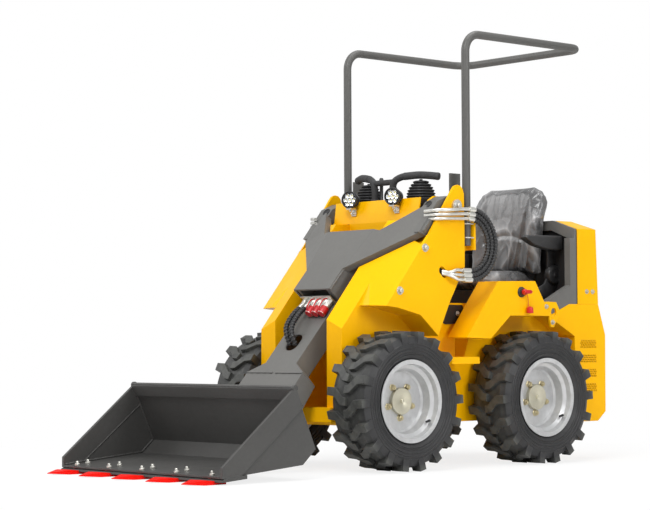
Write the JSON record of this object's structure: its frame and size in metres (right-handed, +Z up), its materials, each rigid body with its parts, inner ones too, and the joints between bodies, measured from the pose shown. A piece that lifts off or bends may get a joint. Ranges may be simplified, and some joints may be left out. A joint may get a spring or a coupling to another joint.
{
  "type": "mini skid loader",
  "caption": "Compact wheeled loader with a forked lift boom, a toothed bucket on a tilt coupler, an open seat and a roll bar.",
  "frame": {"origin": "on the ground under the middle of the machine's box", "axes": "-Y is the machine's front, +X its left side, +Z up"},
  "size_m": [1.072, 2.525, 1.8977],
  "materials": {
    "yellow_paint": "gloss powder coat",
    "grey_paint": "satin paint",
    "zinc": "zinc plated",
    "chromed_rod": "polished hard chrome",
    "rim_silver": "silver lacquer",
    "tyre_rubber": "moulded rubber",
    "hose_rubber": "smooth rubber cover",
    "black_plastic": "moulded grain",
    "black_steel": "satin black paint",
    "seat_vinyl": "black vinyl under a clear film",
    "red_paint": "gloss red paint",
    "red_plastic": "moulded",
    "lens": "clear lens",
    "cast_engine": "painted casting"
  },
  "bodies": {
    "chassis": {"hull_tub": "yellow_paint", "front_beam": "yellow_paint", "tower_left": "yellow_paint", "tower_right": "yellow_paint", "front_panel": "yellow_paint", "console_top": "black_steel", "hand_rail": "hose_rubber", "lever_boots": "hose_rubber", "work_lamps": "black_plastic", "lamp_lenses": "lens", "boom_pins": "zinc", "roll_bar": "grey_paint", "bar_sockets": "yellow_paint", "guard_plates": "grey_paint", "side_tanks": "yellow_paint", "isolator": "red_plastic", "lift_eyes": "yellow_paint", "side_covers": "black_steel", "rear_body": "yellow_paint", "vent_grilles": "yellow_paint", "hood_frames": "grey_paint", "engine_block": "cast_engine", "seat_deck": "black_steel", "seat_base": "black_steel", "seat_cushion": "seat_vinyl", "seat_back": "seat_vinyl", "armrests": "black_plastic", "wheel_motors": "black_steel", "boom_hoses": "hose_rubber"},
    "hood": {"engine_hood": "yellow_paint"},
    "boom": {"boom_arms": "grey_paint", "boom_neck": "grey_paint", "boom_nose": "grey_paint", "quick_couplers": "zinc", "neck_hoses": "hose_rubber"},
    "lift_barrel": {"lift_barrel": "black_steel"},
    "lift_rod": {"lift_rod": "chromed_rod"},
    "tilt_barrel": {"tilt_barrel": "black_steel"},
    "tilt_rod": {"tilt_rod": "chromed_rod"},
    "bucket": {"coupler": "grey_paint", "bucket_shell": "grey_paint", "cutting_edge": "grey_paint", "bucket_teeth": "red_paint"},
    "wheel_front_left": {"tyre_front_left": "tyre_rubber", "rim_front_left": "rim_silver", "hub_front_left": "zinc"},
    "wheel_front_right": {"tyre_front_right": "tyre_rubber", "rim_front_right": "rim_silver", "hub_front_right": "zinc"},
    "wheel_rear_left": {"tyre_rear_left": "tyre_rubber", "rim_rear_left": "rim_silver", "hub_rear_left": "zinc"},
    "wheel_rear_right": {"tyre_rear_right": "tyre_rubber", "rim_rear_right": "rim_silver", "hub_rear_right": "zinc"}
  },
  "joints": [
    {"name": "spin_front_left", "type": "hinge", "parent": "chassis", "child": "wheel_front_left", "pos_m": [0.387, -0.0945, 0.292], "axis": [1, 0, 0], "continuous": true},
    {"name": "spin_front_right", "type": "hinge", "parent": "chassis", "child": "wheel_front_right", "pos_m": [-0.387, -0.0945, 0.292], "axis": [1, 0, 0], "continuous": true},
    {"name": "spin_rear_left", "type": "hinge", "parent": "chassis", "child": "wheel_rear_left", "pos_m": [0.387, 0.7295, 0.292], "axis": [1, 0, 0], "continuous": true},
    {"name": "spin_rear_right", "type": "hinge", "parent": "chassis", "child": "wheel_rear_right", "pos_m": [-0.387, 0.7295, 0.292], "axis": [1, 0, 0], "continuous": true},
    {"name": "boom_lift", "type": "hinge", "parent": "chassis", "child": "boom", "pos_m": [0, 0.2545, 1.12], "axis": [-1, 0, 0], "range_deg": [0, 88], "deforming": ["boom_hoses"]},
    {"name": "bucket_tilt", "type": "hinge", "parent": "boom", "child": "bucket", "pos_m": [0, -0.47739, 0.14503], "axis": [1, 0, 0], "range_deg": [-25, 100]},
    {"name": "lift_swing", "type": "hinge", "parent": "chassis", "child": "lift_barrel", "pos_m": [0, 0.0675, 0.28], "axis": [-1, 0, 0], "range_deg": [-2, 2]},
    {"name": "lift_slide", "type": "slide", "parent": "lift_barrel", "child": "lift_rod", "axis": [0, -0.0397, 0.9992], "range_m": [0, 0.43]},
    {"name": "tilt_swing", "type": "hinge", "parent": "boom", "child": "tilt_barrel", "pos_m": [0, -0.17405, 0.61923], "axis": [1, 0, 0], "range_deg": [-8, 8]},
    {"name": "tilt_slide", "type": "slide", "parent": "tilt_barrel", "child": "tilt_rod", "axis": [0, -0.6745, -0.7382], "range_m": [-0.06, 0.19]},
    {"name": "hood_open", "type": "hinge", "parent": "chassis", "child": "hood", "pos_m": [0, 1.2155, 0.7063], "axis": [-1, 0, 0], "range_deg": [0, 65]}
  ],
  "couplings": [
    {"joint": "lift_swing", "follows": "boom_lift", "ratio": 0.00598},
    {"joint": "lift_slide", "follows": "boom_lift", "m_per_rad": 0.27091},
    {"joint": "tilt_swing", "follows": "bucket_tilt", "ratio": 0.04238},
    {"joint": "tilt_slide", "follows": "bucket_tilt", "m_per_rad": 0.09863}
  ]
}
